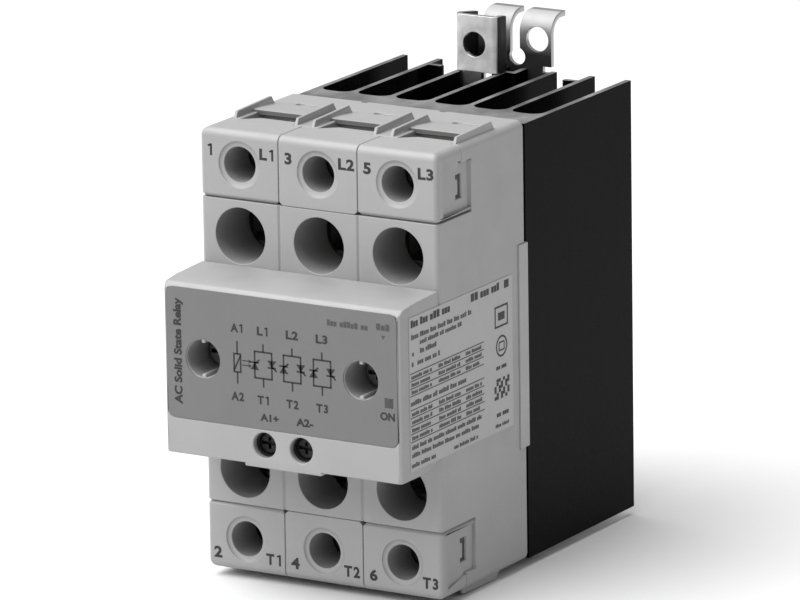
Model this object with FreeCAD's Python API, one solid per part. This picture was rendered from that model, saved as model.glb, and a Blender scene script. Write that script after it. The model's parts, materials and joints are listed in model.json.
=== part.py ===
import FreeCAD, Part
import math
import os

"""Three-pole solid state relay, three modules wide, with its heat sink and a clip for 35 mm top-hat rail.

Millimetres, +Z up, +X to the right of someone facing the terminals, +Y towards the rail.
While it is being modelled, X = 0 is the middle, Y = 0 the terminal front and Z = 0 the body's underside.
export() then moves everything so that the origin is the middle of the base of the whole object.
"""

Vector = FreeCAD.Vector

# Modular housing
MODULE = 18.0
HALF_WIDTH = 1.5 * MODULE
HEIGHT = 90.0
MID_Z = HEIGHT / 2
POLES = (-MODULE, 0.0, MODULE)
HOUSING_BACK = 33.7
WALL = 1.6
FRONT_WALL = 1.8
CORNER_R = 1.0
EDGE_R = 1.6
PARTITION = 1.4
DECK_TOP = MID_Z + 17.9
LUG_LOW, LUG_HIGH = 23.5, 65.2
LUG_PROUD = 0.3

# Terminal caps, one over each terminal screw
SEAM = MID_Z + 31.0
CAP_BACK = 9.6
CAP_GAP = 0.06
CAP_WALL = 1.4
TONGUE_HALF = 6.8
TONGUE_BACK = 12.2
TONGUE_LEFT = -2.1
OPENING_LEFT = -5.4
CHEEK_TOP = HEIGHT - 3.5
CHEEK_BACK = 13.2
PANEL_DEEP = 0.6
DRIVER_HOLE_R = 3.6
DRIVER_HOLE_Z = MID_Z + 38.2

# Finger ribs and the raised plate between them, on both ends of each pole
RIB_LEFT, RIB_RIGHT, RIB = -7.2, 6.9, 0.7
RIB_FRONT_HIGH, RIB_REAR_HIGH = 1.3, 1.7
PLATE_FRONT, PLATE_SLOPE, PLATE_REAR = 16.0, 18.5, 25.0
PLATE_LEAN = 0.5
PLATE_HIGH, PLATE_EDGE = 0.55, 1.05

# Wire entries and the clamp behind each one
WIRE_HOLE_R = 5.7
WIRE_HOLE_Z = MID_Z + 23.85
WIRE_TUBE_R = 7.0
WIRE_TUBE_BACK = 12.6
CAGE_HALF = 7.2
CAGE_SHEET = 1.4
CAGE_FRONT, CAGE_BACK = 13.0, 33.0
CAGE_LOW, CAGE_TOP = 63.25, 88.2
ENTRY_HALF, ENTRY_TOP = 5.9, 75.0
TONGUE_FOOT_Z = 54.6
BAR_SURFACE = CAGE_LOW + 1.5
SCREW_R = 2.5
SCREW_HEAD_R = 4.2
SCREW_HEAD_FRONT, SCREW_HEAD_BACK = 10.0, 12.7
SCREW_JOURNAL_R = 2.0
RUNNING = 0.08
WEDGE_SUM = 101.5
WEDGE_GAP = 0.14
CLAMP_HALF = 6.4
NUT_TOP, NUT_TOE = 86.8, 71.5
NUT_REAR, NUT_SHOULDER = 31.3, 80.3
JAW_LOW, JAW_TOP, JAW_FRONT = 73.2, 79.8, 14.7

# Front cover with the control terminals
COVER_FRONT = -14.8
COVER_LOW, COVER_TOP = 27.4, 62.9
APRON_HALF, APRON_LOW = 8.8, 26.8
LABEL_LEFT, LABEL_RIGHT, LABEL_LOW, LABEL_TOP = -26.2, 26.2, 34.7, 61.3
LABEL_DEEP = 0.25
LABEL_CORNER_R = 1.5
WELL_X, WELL_Z, WELL_R = MODULE, 47.3, 3.8
WELL_FLOOR = -5.2
CONTROL_X, CONTROL_Z, CONTROL_R = 4.2, 31.45, 2.55
CONTROL_BAR_FRONT, CONTROL_BAR_BACK = -5.6, -4.8
CLAMP_REAR_WALL = -0.5
LED_X, LED_Z, LED_HALF = 24.3, 43.5, 0.95
BOARD_FRONT, BOARD_BACK = 1.0, 2.6

# Power stage
DIE_FRONT, CERAMIC_FRONT = 33.0, 33.6
CERAMIC_HALF = 6.5
DIE_OFFSET = 11.4
GATE_OFFSET_X, GATE_OFFSET_Z = 2.4, 8.4

# Heat sink
SINK_FRONT = 34.7
SINK_BASE_BACK = 42.8
SINK_BACK = 78.1
SINK_TOP = 89.1
SINK_HALF = 26.75
FIN = 1.3
FINS = (-26.1, -17.8, -9.0, 0.0, 9.0, 17.8, 26.1)
FIN_ROOT_R = 2.4
FORK_HALF_GAP, FORK_FRONT = 1.5, 73.0
LEDGE_FRONT, LEDGE_LONG = 72.2, 3.0

# Rail clip
SHEET = 1.2
CLIP_LEFT, CLIP_RIGHT = -7.9, 8.3
CLIP_SLOT_X, CLIP_SLOT_HALF, CLIP_SLOT_LOW = -0.18, 1.09, 91.4
PLATE_LOW, PLATE_LEFT = 14.0, -9.0
PLATE_BACK = SINK_BACK + SHEET
CURL_Z, CURL_R, CURL_END = 96.4, 4.2, 84.2
RAIL = 35.0
RAIL_MID = 45.3
RAIL_SHEET_GAP = 1.6
HOOK_LAP = 2.5
RAIL_PLAY = 0.3
HEAD_LEFT, HEAD_RIGHT = -9.7, 0.5
HEAD_FRONT, HEAD_LOW, HEAD_TOP = 70.0, 89.2, 100.95
HEAD_RIGHT_WALL = 73.6
STRIP_LEFT, STRIP_RIGHT = -7.9, -3.4
EAR_HOLE_R, EAR_HOLE_X, EAR_HOLE_Z = 2.55, 5.0, 95.3
GRIP_HOLE_X, GRIP_HOLE_Z = -5.05, 94.9
LATCH_TRAVEL = 3.5
SPRING_X, SPRING_Y, SPRING_TOP = -5.65, 73.7, 83.5
BRACKET_SCREW_Z = (20.5, 76.0)


def box(x0, x1, y0, y1, z0, z1):
    return Part.makeBox(x1 - x0, y1 - y0, z1 - z0, Vector(x0, y0, z0))


def rod_y(x, z, radius, y0, y1):
    return Part.makeCylinder(radius, y1 - y0, Vector(x, y0, z), Vector(0, 1, 0))


def rod_z(x, y, radius, z0, z1):
    return Part.makeCylinder(radius, z1 - z0, Vector(x, y, z0), Vector(0, 0, 1))


def prism_x(outline, x0, x1):
    """A closed outline of (y, z) points, run from x0 to x1."""
    points = [Vector(x0, y, z) for y, z in outline]
    face = Part.Face(Part.makePolygon(points + points[:1]))
    return face.extrude(Vector(x1 - x0, 0, 0))


def fuse(shapes):
    shapes = list(shapes)
    return shapes[0].multiFuse(shapes[1:]).removeSplitter()


def flip(shape):
    """The same thing at the other end of the body, upside down."""
    return shape.mirror(Vector(0, 0, MID_Z), Vector(0, 0, 1))


def both_ends(shape):
    return [shape, flip(shape)]


def along(edge, direction):
    first, last = edge.Vertexes[0].Point, edge.Vertexes[-1].Point
    run = last - first
    return run.Length > 0 and abs(abs(run.normalize().dot(direction)) - 1) < 1e-6


def edges_where(shape, direction, test):
    """The straight edges along a direction whose middle passes a test."""
    return [e for e in shape.Edges if along(e, direction) and test(e.CenterOfMass)]


X_AXIS, Y_AXIS, Z_AXIS = Vector(1, 0, 0), Vector(0, 1, 0), Vector(0, 0, 1)


def near(value, target):
    return abs(value - target) < 1e-3


def body_block():
    """The rounded outer block that the housing and its caps are cut from."""
    block = box(-HALF_WIDTH, HALF_WIDTH, 0, HOUSING_BACK, 0, HEIGHT)
    upright = edges_where(block, Z_AXIS, lambda c: near(c.y, 0))
    block = block.makeFillet(CORNER_R, upright)
    ends = [e for e in block.Edges if near(e.CenterOfMass.z, 0) or near(e.CenterOfMass.z, HEIGHT)]
    return block.makeFillet(EDGE_R, [e for e in ends if e.CenterOfMass.y < HOUSING_BACK - 1e-3])


def cap_tongue(x, gap):
    """The cap's tongue on the roof, with its left rear corner cut away."""
    left, right = x + OPENING_LEFT + gap, x + TONGUE_HALF - gap
    back = TONGUE_BACK - gap
    outline = [(left, CAP_BACK - 1), (right, CAP_BACK - 1), (right, back), (x + TONGUE_LEFT, back), (left, CAP_BACK)]
    points = [Vector(u, v, HEIGHT - CAP_WALL + gap) for u, v in outline]
    return Part.Face(Part.makePolygon(points + points[:1])).extrude(Vector(0, 0, 3))


def cap_zone(x, gap):
    """The space of one upper cap: a block, its tongue and, on an outer pole, its cheek."""
    half = MODULE / 2 - gap
    overshoot = 1.0
    left = x - half - (overshoot if x == POLES[0] else 0)
    right = x + half + (overshoot if x == POLES[-1] else 0)
    block = box(left, right, -overshoot, CAP_BACK - gap, SEAM + gap, HEIGHT + overshoot)
    pieces = [block, cap_tongue(x, gap)]
    if x != 0:
        side = math.copysign(1, x)
        inner, outer = HALF_WIDTH - CAP_WALL, HALF_WIDTH + overshoot
        low, high = sorted((side * inner, side * outer))
        pieces.append(box(low, high, CAP_BACK - 1, CHEEK_BACK - gap, SEAM + gap, CHEEK_TOP - gap))
    return fuse(pieces)


def upper_cap(x):
    cap = body_block().common(cap_zone(x, CAP_GAP))
    half = MODULE / 2
    hollow = box(x - half + CAP_WALL, x + half - CAP_WALL, CAP_WALL, CAP_BACK + 1,
                 SEAM + CAP_WALL, HEIGHT - CAP_WALL)
    sleeve = rod_y(x, DRIVER_HOLE_Z, DRIVER_HOLE_R + 1.3, CAP_WALL - 0.2, CAP_BACK - CAP_GAP)
    cap = cap.cut(hollow).fuse(sleeve)
    ring = rod_y(x, DRIVER_HOLE_Z, DRIVER_HOLE_R + 1.05, -1, 0.25)
    cap = cap.cut(fuse([rod_y(x, DRIVER_HOLE_Z, DRIVER_HOLE_R, -1, CAP_BACK + 1), ring]))
    corners = edges_where(cap, Y_AXIS, lambda c: near(c.z, SEAM + CAP_GAP) and c.y < CAP_BACK
                          and abs(c.x - x) > half - 1)
    cap = cap.makeChamfer(0.7, [e for e in corners if e.BoundBox.YLength > 5])
    if x != 0:
        cap = cap.cut(side_panel(math.copysign(HALF_WIDTH, x)))
    return cap


def side_panel(x):
    """A shallow panel in the cheek of an outer cap, with a deeper bracket-shaped mark in it."""
    low, high = sorted((x - math.copysign(PANEL_DEEP, x), x + math.copysign(1, x)))
    outline = [(2.5, SEAM + 0.9), (CAP_BACK + 4, SEAM + 0.9), (CAP_BACK + 4, CHEEK_TOP - 0.4), (2.5, HEIGHT - 1.9)]
    panel = prism_x(outline, low, high)
    low, high = sorted((x - math.copysign(PANEL_DEEP + 0.5, x), x))
    mark = [box(low, high, 9.0, 10.6, 79.3, 84.2)]
    mark += [box(low, high, 8.2, 9.1, z, z + 0.9) for z in (79.3, 83.3)]
    return fuse([panel] + mark)


def top_ribs(x):
    """Two finger ribs and the raised plate between them on the end of one pole."""
    foot = HEIGHT - 0.4
    ribs = []
    for left, back in ((RIB_LEFT, 24.8), (RIB_RIGHT, 25.2)):
        outline = [(9.6, foot), (10.5, HEIGHT + RIB_FRONT_HIGH), (back - 1.5, HEIGHT + RIB_REAR_HIGH), (back, foot)]
        ribs.append(prism_x(outline, x + left, x + left + RIB))
    top = HEIGHT + PLATE_HIGH
    outline = [(PLATE_FRONT + PLATE_LEAN, foot), (PLATE_FRONT, top), (PLATE_SLOPE, top),
               (PLATE_REAR, HEIGHT), (PLATE_REAR, foot)]
    plate = prism_x(outline, x + RIB_LEFT + RIB - 0.05, x + RIB_RIGHT + 0.05)
    return fuse(ribs + [plate])


def roof_mark(x):
    """A shallow slot with a round dimple at its left end, in the roof behind one raised plate."""
    slot = box(x - 1.5, x + 4.0, 25.5, 26.1, HEIGHT - 0.6, HEIGHT + 1)
    dimple = rod_z(x - 1.4, 25.8, 0.9, HEIGHT - 1.1, HEIGHT + 1)
    return fuse([slot, dimple])


def wire_face(x):
    """One upper pole's wire tube, with the ledge that its cap sits on."""
    tube = rod_y(x, WIRE_HOLE_Z, WIRE_TUBE_R, 0.5, WIRE_TUBE_BACK)
    half = MODULE / 2
    ledge = box(x - half, x + half, CORNER_R, WIRE_TUBE_BACK, SEAM - 1.0, SEAM)
    return fuse([tube, ledge])


def housing_end():
    """Everything inside the upper end of the housing: tubes, ledges, partitions and deck."""
    high = HEIGHT - WALL + 0.2
    pieces = [wire_face(x) for x in POLES]
    for x in (-MODULE / 2, MODULE / 2):
        half = PARTITION / 2
        pieces.append(box(x - half, x + half, FRONT_WALL - 0.2, HOUSING_BACK - 0.6, DECK_TOP - 0.2, SEAM))
        pieces.append(box(x - half, x + half, CAP_BACK + 0.2, HOUSING_BACK - 0.6, SEAM - 0.2, high))
    pieces.append(box(-HALF_WIDTH + 1, HALF_WIDTH - 1, FRONT_WALL - 0.2, 31.2, DECK_TOP - 1.3, DECK_TOP))
    limit = box(-HALF_WIDTH + 0.9, HALF_WIDTH - 0.9, CORNER_R - 0.5, HOUSING_BACK, 0.9, HEIGHT - 0.9)
    return fuse(pieces).common(limit)


def joint_grooves():
    """Shallow V-grooves down the front where one pole's moulding meets the next."""
    depth = 0.35
    grooves = []
    for x in (-MODULE / 2, MODULE / 2):
        points = [Vector(x - depth, -0.01, 0), Vector(x + depth, -0.01, 0), Vector(x, depth, 0)]
        face = Part.Face(Part.makePolygon(points + points[:1]))
        grooves.append(face.extrude(Vector(0, 0, HEIGHT)))
    return grooves


def rear_notches():
    """Small notches in the rear edge of the roof and the floor, between the poles."""
    notches = []
    for x in (-MODULE / 2, MODULE / 2):
        for z in (0, HEIGHT):
            notches.append(box(x - 0.6, x + 0.6, HOUSING_BACK - 0.8, HOUSING_BACK + 1, z - 1.2, z + 1.2))
    return notches


def main_housing():
    shell = body_block()
    inside = box(-HALF_WIDTH + WALL, HALF_WIDTH - WALL, FRONT_WALL, HOUSING_BACK + 1, WALL, HEIGHT - WALL)
    window = box(-HALF_WIDTH + WALL, HALF_WIDTH - WALL, -1, FRONT_WALL + 1,
                 HEIGHT - DECK_TOP + 1.3, DECK_TOP - 1.3)
    shell = shell.cut(fuse([inside, window]))
    shell = fuse([shell] + both_ends(housing_end()))
    removed = joint_grooves() + rear_notches()
    for x in POLES:
        left, right = x + OPENING_LEFT, x + TONGUE_HALF
        opening = box(left, right, CAP_BACK, PLATE_FRONT + PLATE_LEAN, HEIGHT - WALL - 1, HEIGHT + 1)
        thinning = box(left, right, PLATE_FRONT - 1, PLATE_FRONT + PLATE_LEAN + 1.2, HEIGHT - WALL - 1,
                       HEIGHT + PLATE_HIGH - PLATE_EDGE)
        gap = fuse([opening, thinning])
        bore = rod_y(x, WIRE_HOLE_Z, WIRE_HOLE_R, -1, WIRE_TUBE_BACK + 1)
        for cutter in (cap_zone(x, 0), gap, bore, roof_mark(x)):
            removed += both_ends(cutter)
    for side in (-1, 1):
        low, high = sorted((side * (HALF_WIDTH - 1.1), side * (HALF_WIDTH + 1)))
        removed.append(box(low, high, 31.2, HOUSING_BACK + 1, LUG_LOW, LUG_HIGH))
    shell = shell.cut(fuse(removed))
    ribs = [end for x in POLES for end in both_ends(top_ribs(x))]
    return fuse([shell] + ribs)


def base_frame():
    """The insulating frame behind the housing, with the lugs that show on each side."""
    plate = box(-25.2, 25.2, 33.15, 34.6, 2.0, 88.0)
    window = box(-24.7, 24.7, 33, 35, 28.8, 61.2)
    pieces = [plate.cut(window)]
    for side in (-1, 1):
        low, high = sorted((side * (HALF_WIDTH - 1.1), side * (HALF_WIDTH + LUG_PROUD)))
        pieces.append(box(low, high, 31.2, SINK_FRONT, LUG_LOW, LUG_HIGH))
        low, high = sorted((side * 25.0, side * (HALF_WIDTH - 1.0)))
        pieces.append(box(low, high, HOUSING_BACK, 34.6, LUG_LOW, LUG_HIGH))
    return fuse(pieces)


def terminal_frame(x):
    """The sheet brass loop that holds one clamp, with the tongue that stands on the thyristor."""
    loop = box(x - CAGE_HALF, x + CAGE_HALF, CAGE_FRONT, CAGE_BACK, CAGE_LOW, CAGE_TOP)
    rear = CAGE_BACK - CAGE_SHEET
    space = box(x - CAGE_HALF - 1, x + CAGE_HALF + 1, CAGE_FRONT + CAGE_SHEET, rear,
                BAR_SURFACE, CAGE_TOP - SHEET)
    tongue = box(x - 4.2, x + 4.2, rear, CAGE_BACK, TONGUE_FOOT_Z, CAGE_LOW + 1)
    entry = box(x - ENTRY_HALF, x + ENTRY_HALF, CAGE_FRONT - 1, CAGE_FRONT + CAGE_SHEET + 1,
                BAR_SURFACE, ENTRY_TOP)
    journal = rod_y(x, DRIVER_HOLE_Z, SCREW_JOURNAL_R + RUNNING, rear - 1, CAGE_BACK + 1)
    neck = rod_y(x, DRIVER_HOLE_Z, SCREW_R + RUNNING, CAGE_FRONT - 1, CAGE_FRONT + CAGE_SHEET + 1)
    frame = fuse([loop.cut(space), tongue]).cut(fuse([entry, journal, neck]))
    grip = [prism_x([(y, BAR_SURFACE + 0.01), (y + 0.8, BAR_SURFACE + 0.01), (y + 0.4, BAR_SURFACE - 0.4)],
                    x - CLAMP_HALF, x + CLAMP_HALF) for y in (18.0, 20.5, 23.0, 25.5)]
    return frame.cut(fuse(grip))


def terminal_screw(x):
    """A captive M5 screw with a cross-slot head in front and a plain journal at its tip."""
    head = rod_y(x, DRIVER_HOLE_Z, SCREW_HEAD_R, SCREW_HEAD_FRONT, SCREW_HEAD_BACK)
    rim = [e for e in head.Edges if near(e.CenterOfMass.y, SCREW_HEAD_FRONT)]
    head = head.makeFillet(0.6, rim)
    shank = rod_y(x, DRIVER_HOLE_Z, SCREW_R, SCREW_HEAD_BACK - 0.5, CAGE_BACK - CAGE_SHEET - 0.6)
    journal = rod_y(x, DRIVER_HOLE_Z, SCREW_JOURNAL_R, CAGE_BACK - CAGE_SHEET - 1, CAGE_BACK - 0.1)
    return fuse([head, shank, journal]).cut(cross_slot(x, DRIVER_HOLE_Z, SCREW_HEAD_FRONT, 6.0, 1.2, 1.5))


def cross_slot(x, z, front, long, wide, deep):
    """A driver recess: a straight slot right across, crossed by a shorter one."""
    half, short = long / 2, long / 3
    across = box(x - half, x + half, front - 1, front + deep, z - wide / 2, z + wide / 2)
    upright = box(x - wide / 2, x + wide / 2, front - 1, front + deep, z - short, z + short)
    return fuse([across, upright])


def wedge_nut(x):
    """The nut that the screw draws forward, with a sloping face that drives the jaw down."""
    slope_y = WEDGE_SUM - NUT_SHOULDER
    outline = [(slope_y, NUT_TOP), (NUT_REAR, NUT_TOP), (NUT_REAR, NUT_TOE),
               (WEDGE_SUM - NUT_TOE, NUT_TOE), (slope_y, NUT_SHOULDER)]
    nut = prism_x(outline, x - CLAMP_HALF, x + CLAMP_HALF)
    return nut.cut(rod_y(x, DRIVER_HOLE_Z, SCREW_R + RUNNING, 15, 35))


def clamp_jaw(x):
    """The jaw that the wedge presses onto the wire, grooved underneath."""
    reach = WEDGE_SUM - WEDGE_GAP
    outline = [(JAW_FRONT, JAW_LOW), (reach - JAW_LOW, JAW_LOW), (reach - JAW_TOP, JAW_TOP),
               (JAW_FRONT, JAW_TOP)]
    jaw = prism_x(outline, x - CLAMP_HALF, x + CLAMP_HALF)
    edges = edges_where(jaw, X_AXIS, lambda c: near(c.y, JAW_FRONT))
    jaw = jaw.makeFillet(0.6, edges)
    grip = [prism_x([(y, JAW_LOW - 0.01), (y + 0.8, JAW_LOW - 0.01), (y + 0.4, JAW_LOW + 0.4)],
                    x - 8, x + 8) for y in (17.0, 19.5, 22.0, 24.5)]
    return jaw.cut(fuse(grip))


def cover_block(inset):
    """The cover's solid outline; an inset gives the space inside it."""
    front, low = COVER_FRONT + inset, COVER_LOW + inset
    rear = 0 if inset == 0 else 1
    outline = [(rear, COVER_TOP - inset), (-9.8, COVER_TOP - 0.4 - inset),
               (front + 1.2, COVER_TOP - 0.9 - inset), (front, COVER_TOP - 2.0 - inset),
               (front, low), (-5.0, low), (-1.5, low + 1.4), (rear, low + 1.4)]
    block = prism_x(outline, -HALF_WIDTH + inset, HALF_WIDTH - inset)
    apron_half, apron_low = APRON_HALF - inset, APRON_LOW + inset
    apron = box(-apron_half, apron_half, front, rear, apron_low, COVER_LOW + 3)
    return block, apron


def front_cover():
    outer, apron = cover_block(0)
    upright = edges_where(outer, Z_AXIS, lambda c: near(c.y, COVER_FRONT))
    outer = outer.makeFillet(CORNER_R, upright)
    inner, apron_inside = cover_block(WALL)
    cover = fuse([outer, apron]).cut(fuse([inner, apron_inside]))
    added, removed = [], [label_plate(COVER_FRONT - 1, COVER_FRONT + LABEL_DEEP)]
    for side in (-1, 1):
        well_x = side * WELL_X
        added.append(rod_y(well_x, WELL_Z, WELL_R + 1.3, COVER_FRONT + 1, WELL_FLOOR + 1.4))
        removed.append(rod_y(well_x, WELL_Z, WELL_R, COVER_FRONT - 1, WELL_FLOOR))
        removed.append(rod_y(well_x, WELL_Z, 2.3, WELL_FLOOR - 1, WELL_FLOOR + 2))
        control_x = side * CONTROL_X
        removed.append(rod_y(control_x, CONTROL_Z, CONTROL_R, COVER_FRONT - 1, COVER_FRONT + WALL + 1))
        removed.append(box(control_x - 2.3, control_x + 2.3, CONTROL_BAR_BACK, CLAMP_REAR_WALL,
                           APRON_LOW - 1, COVER_LOW + 3))
    removed.append(box(LED_X - LED_HALF, LED_X + LED_HALF, COVER_FRONT - 1, COVER_FRONT + 3,
                       LED_Z - LED_HALF, LED_Z + LED_HALF))
    cover = fuse([cover] + added).cut(fuse(removed))
    keys = []
    for side in (-1, 1):
        for up in (-1, 1):
            low, high = sorted((WELL_Z + up * (WELL_R - 0.7), WELL_Z + up * (WELL_R + 0.3)))
            keys.append(box(side * WELL_X - 0.5, side * WELL_X + 0.5, COVER_FRONT + LABEL_DEEP,
                            WELL_FLOOR + 0.2, low, high))
    return fuse([cover] + keys)


def label_plate(y0, y1):
    """The round-cornered outline of the front label, y0 to y1 thick."""
    plate = box(LABEL_LEFT, LABEL_RIGHT, y0, y1, LABEL_LOW, LABEL_TOP)
    return plate.makeFillet(LABEL_CORNER_R, edges_where(plate, Y_AXIS, lambda c: True))


def front_label():
    label = label_plate(COVER_FRONT, COVER_FRONT + LABEL_DEEP)
    holes = [rod_y(side * WELL_X, WELL_Z, WELL_R + 0.15, COVER_FRONT - 1, 0) for side in (-1, 1)]
    holes.append(box(LED_X - LED_HALF, LED_X + LED_HALF, COVER_FRONT - 1, 0, LED_Z - LED_HALF, LED_Z + LED_HALF))
    return label.cut(fuse(holes))


def side_label():
    """A thin sticker on the right-hand side, over the cover and the housing."""
    return box(HALF_WIDTH, HALF_WIDTH + 0.12, -11.5, 28.5, 29.2, 60.0)


def light_guide():
    """A clear square bar that brings the indicator's light to the front."""
    bar = box(LED_X - LED_HALF, LED_X + LED_HALF, COVER_FRONT, BOARD_FRONT - 0.8,
              LED_Z - LED_HALF, LED_Z + LED_HALF)
    foot = box(LED_X - 1.6, LED_X + LED_HALF, COVER_FRONT + WALL, COVER_FRONT + 3.0,
               LED_Z - 2.2, LED_Z + LED_HALF)
    return fuse([bar, foot])


def indicator_led():
    return box(LED_X - 0.8, LED_X + 0.8, BOARD_FRONT - 0.7, BOARD_FRONT, LED_Z - 0.6, LED_Z + 0.6)


def control_block():
    """The moulding that holds both control clamps, open below for the wires."""
    half = APRON_HALF - WALL - 0.1
    block = box(-half, half, COVER_FRONT + WALL + 0.1, 0.7, APRON_LOW + WALL + 0.05, 36.6)
    removed = []
    for side in (-1, 1):
        x = side * CONTROL_X
        removed.append(box(x - 2.8, x + 2.8, -10.95, 1, 28, 34.0))
        removed.append(box(x - 2.0, x + 2.0, -5.7, -4.7, 28, 37))
        removed.append(rod_y(x, CONTROL_Z, 2.35, COVER_FRONT, -10.9))
    return block.cut(fuse(removed))


def control_screw(side):
    x = side * CONTROL_X
    head = rod_y(x, CONTROL_Z, 2.2, -12.7, -11.0)
    head = head.makeFillet(0.35, [e for e in head.Edges if near(e.CenterOfMass.y, -12.7)])
    shank = rod_y(x, CONTROL_Z, 1.5, -11.2, CONTROL_BAR_FRONT - 0.1)
    return fuse([head, shank]).cut(cross_slot(x, CONTROL_Z, -12.7, 3.6, 0.7, 0.9))


def control_clamp(side):
    """A rising cage: its threaded front wall rides on the screw, its rear wall lifts the wire."""
    x = side * CONTROL_X
    cage = box(x - 2.6, x + 2.6, -7.1, CLAMP_REAR_WALL + 0.9, 29.25, 33.65)
    window = box(x - 2.2, x + 2.2, -5.7, CLAMP_REAR_WALL, 28, 35)
    return cage.cut(fuse([window, rod_y(x, CONTROL_Z, 1.5 + RUNNING, -8, -5)]))


def control_contact(side):
    """The bar that a control wire is pressed against, bent back to the circuit board."""
    x = side * CONTROL_X
    bar = box(x - 1.9, x + 1.9, CONTROL_BAR_FRONT, CONTROL_BAR_BACK, 29.0, 37.8)
    foot = box(x - 1.9, x + 1.9, CONTROL_BAR_FRONT, BOARD_FRONT, 37.0, 37.8)
    pin = box(x - 0.5, x + 0.5, BOARD_FRONT - 0.2, BOARD_BACK + 1, 37.0, 37.8)
    return fuse([bar, foot, pin])


def circuit_board():
    board = box(-24.8, 24.8, BOARD_FRONT, BOARD_BACK, 29.4, 60.6)
    holes = [rod_y(side * WELL_X, WELL_Z, 2.8, 0, 4) for side in (-1, 1)]
    for side in (-1, 1):
        x = side * CONTROL_X
        holes.append(box(x - 0.5, x + 0.5, 0, 4, 37.0, 37.8))
    return board.cut(fuse(holes))


def opto_coupler(x):
    """A six-legged coupler on the front of the board."""
    body = box(x - 3.2, x + 3.2, -3.0, 0.2, 50.0, 58.6)
    body = body.makeChamfer(0.5, edges_where(body, Z_AXIS, lambda c: c.y < -2))
    legs = [box(x + side * 3.6 - 0.6, x + side * 3.6 + 0.6, -1.0, BOARD_FRONT, z - 0.3, z + 0.3)
            for side in (-1, 1) for z in (51.6, 54.3, 57.0)]
    return fuse([body] + legs)


def varistor(x):
    """A coated disc standing on the rear of the board on two wires."""
    disc = Part.makeCylinder(6.5, 3.8, Vector(x - 1.9, 11.0, 45.0), X_AXIS)
    disc = disc.makeFillet(1.2, disc.Edges[0:1] + disc.Edges[2:3])
    leads = [rod_y(x, z, 0.4, BOARD_BACK, 8) for z in (42.5, 47.5)]
    return fuse([disc] + leads)


def snubber_capacitor(x):
    can = box(x - 4.4, x + 4.4, BOARD_BACK + 0.3, 12.0, 54.8, 59.6)
    can = can.makeFillet(0.6, edges_where(can, Y_AXIS, lambda c: True))
    leads = [rod_y(lead_x, 57.2, 0.35, BOARD_BACK, 4) for lead_x in (x - 3, x + 3)]
    return fuse([can] + leads)


def gate_resistor(x):
    body = rod_z(x, 5.2, 1.2, 31.0, 37.0)
    body = body.makeFillet(0.4, [e for e in body.Edges if near(e.CenterOfMass.z, 31.0)
                                 or near(e.CenterOfMass.z, 37.0)])
    wires = [rod_z(x, 5.2, 0.3, 30.2, 38.0)]
    wires += [rod_y(x, z, 0.3, BOARD_BACK, 5.4) for z in (30.2, 38.0)]
    return fuse([body] + wires)


def gate_pin(x, z):
    """A sprung contact pin from the board to a thyristor's gate."""
    return fuse([rod_y(x, z, 0.7, BOARD_BACK, 8), rod_y(x, z, 0.4, 7.5, DIE_FRONT)])


def ceramic_substrate(x):
    plate = box(x - CERAMIC_HALF, x + CERAMIC_HALF, CERAMIC_FRONT, SINK_FRONT, 29.0, 61.0)
    return plate.cut(rod_y(x, WELL_Z, 2.6, 33, 36))


def thyristor_die(x, z):
    die = box(x - 4.0, x + 4.0, DIE_FRONT, CERAMIC_FRONT, z - 4.0, z + 4.0)
    return die.makeChamfer(0.2, edges_where(die, Y_AXIS, lambda c: True))


def fixing_screw(side):
    """A long M4 screw from the cover through the body into the heat sink."""
    x = side * WELL_X
    head = rod_y(x, WELL_Z, 3.0, -8.2, WELL_FLOOR - 0.5)
    head = head.makeFillet(0.6, [e for e in head.Edges if near(e.CenterOfMass.y, -8.2)])
    shank = rod_y(x, WELL_Z, 2.0, WELL_FLOOR - 1, 40.6)
    return fuse([head, shank]).cut(cross_slot(x, WELL_Z, -8.2, 4.4, 0.9, 1.3))


def fixing_washer(side):
    x = side * WELL_X
    ring = rod_y(x, WELL_Z, 3.05, WELL_FLOOR - 0.5, WELL_FLOOR)
    return ring.cut(rod_y(x, WELL_Z, 2.0, -8, 0))


def fin_ledge(x):
    """The small ledge on the inner side of a fin that stops the clip from tilting."""
    low, high = sorted((x, x - math.copysign(LEDGE_LONG + FIN / 2, x)))
    return box(low, high, LEDGE_FRONT, LEDGE_FRONT + 1.2, 0, SINK_TOP)


def heat_sink():
    base = box(-SINK_HALF, SINK_HALF, SINK_FRONT, SINK_BASE_BACK, 0, SINK_TOP)
    fins = [box(x - FIN / 2, x + FIN / 2, SINK_BASE_BACK - 0.5, SINK_BACK, 0, SINK_TOP) for x in FINS]
    sink = fuse([base] + fins)
    roots = edges_where(sink, Z_AXIS, lambda c: near(c.y, SINK_BASE_BACK) and abs(c.x) < SINK_HALF - FIN / 2)
    sink = sink.makeFillet(FIN_ROOT_R, roots)
    wide = FORK_HALF_GAP + FIN
    fork = box(-wide, wide, FORK_FRONT, SINK_BACK, 0, SINK_TOP)
    throat = box(-FORK_HALF_GAP, FORK_HALF_GAP, FORK_FRONT + FIN, SINK_BACK + 1, -1, SINK_TOP + 1)
    ledges = [fin_ledge(x) for x in (FINS[1], FINS[-2])]
    sink = fuse([sink, fork] + ledges).cut(throat)
    taps = [rod_y(side * WELL_X, WELL_Z, 2.0, SINK_FRONT - 1, 40.6) for side in (-1, 1)]
    return sink.cut(fuse(taps))


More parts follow.
